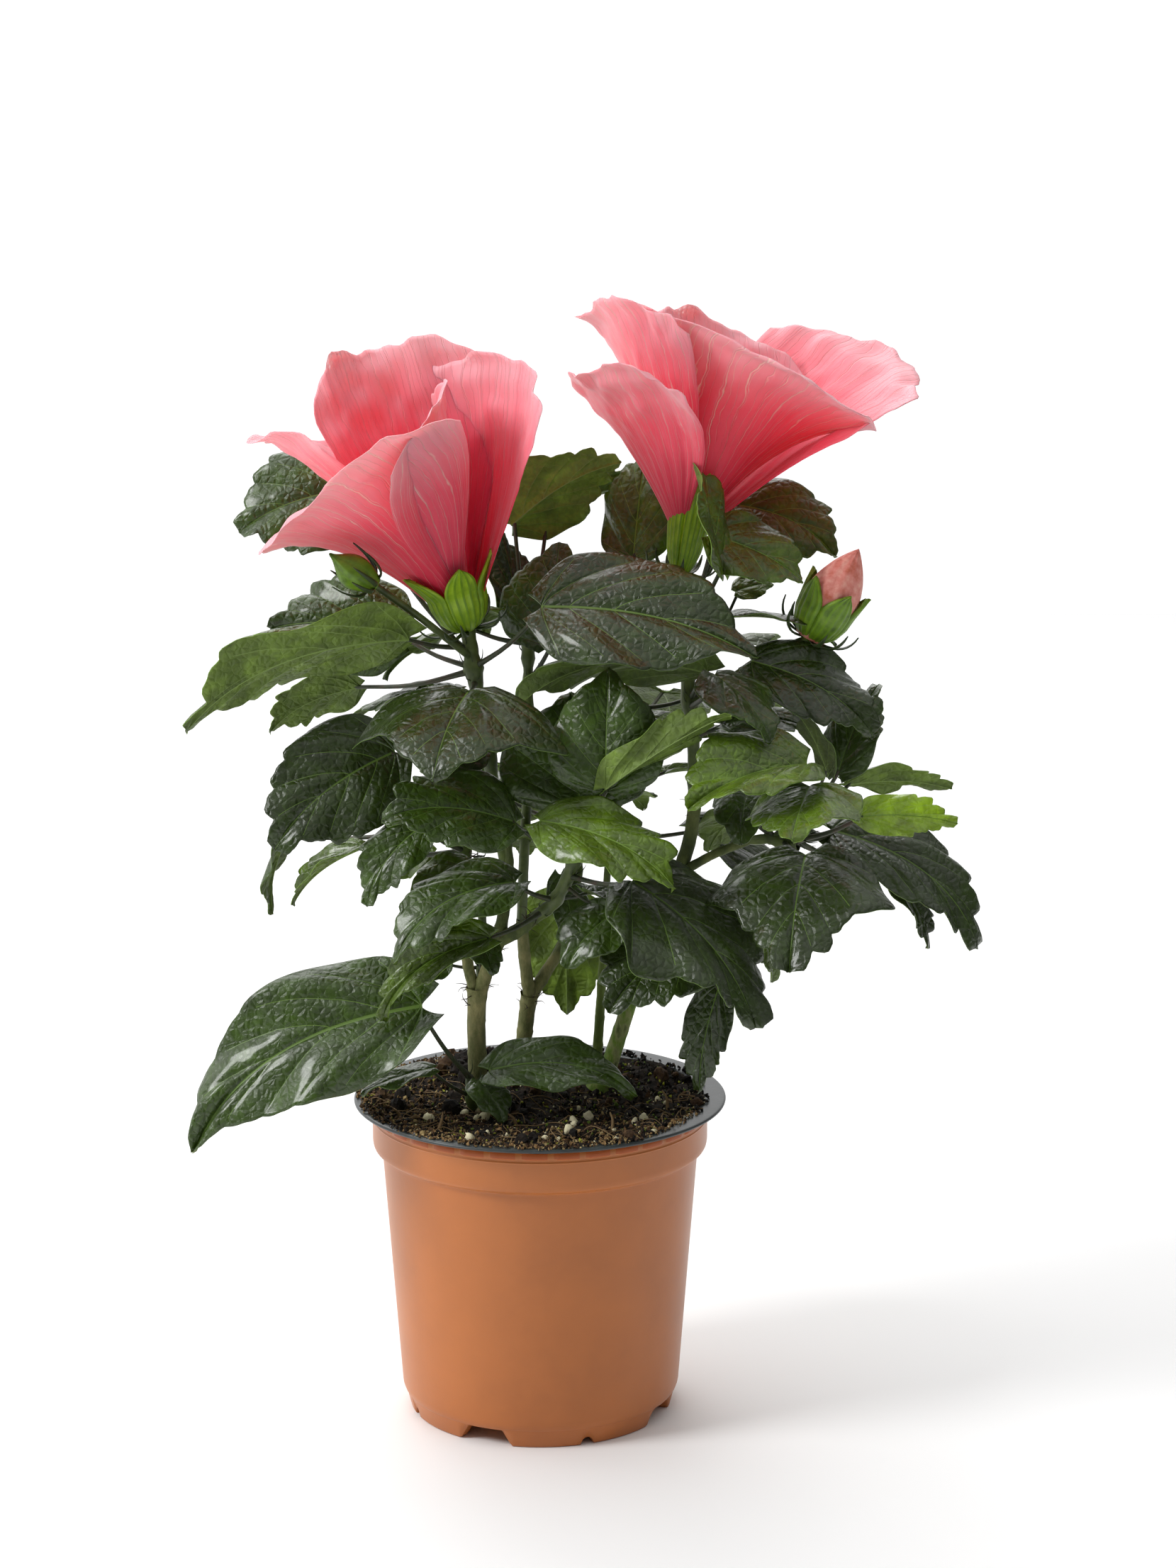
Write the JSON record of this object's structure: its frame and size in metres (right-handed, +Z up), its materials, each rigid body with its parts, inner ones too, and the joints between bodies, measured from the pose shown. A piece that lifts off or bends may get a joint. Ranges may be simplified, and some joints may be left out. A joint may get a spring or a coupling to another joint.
{
  "type": "potted hibiscus shrub",
  "caption": "Young flowering hibiscus shrub with woody stems, glossy lobed leaves and funnel-shaped blooms, growing in a round tapered nursery pot.",
  "frame": {"origin": "under the middle of the plant's outline, at the level of the pot's feet", "axes": "+Z up, -Y towards the side the blooms are seen from, +X to the right as seen from there"},
  "size_m": [0.2506, 0.1678, 0.3556],
  "materials": {
    "terracotta_plastic": "satin moulded plastic, terracotta orange",
    "peat": "moist dark peat with perlite and bark",
    "old_bark": "thin tan and green bark",
    "green_bark": "young green bark",
    "foliage": "glossy dark green leaves on slim stalks",
    "petal": "soft veined coral pink petals",
    "bud_green": "ribbed bright green buds"
  },
  "bodies": {
    "root": {"pot": "terracotta_plastic", "soil": "peat", "stem_front": "old_bark", "bough_front_left": "green_bark", "bough_front_right": "green_bark", "bough_centre_left": "green_bark", "bough_centre_right": "green_bark", "stem_middle": "old_bark", "bough_middle_left": "green_bark", "bough_middle_right": "green_bark", "stem_thin": "old_bark", "stem_right": "old_bark", "bough_right_up": "green_bark", "bough_right_out": "green_bark", "foliage_foot": "foliage", "foliage_front": "foliage", "foliage_left_low": "foliage", "foliage_left": "foliage", "foliage_centre": "foliage", "foliage_right_up": "foliage", "foliage_right_out": "foliage", "foliage_middle": "foliage", "foliage_right_low": "foliage", "foliage_back_left": "foliage", "foliage_back_right": "foliage", "bloom_left": "petal", "bloom_right": "petal", "bud_left": "bud_green", "bud_right": "bud_green"}
  },
  "joints": []
}
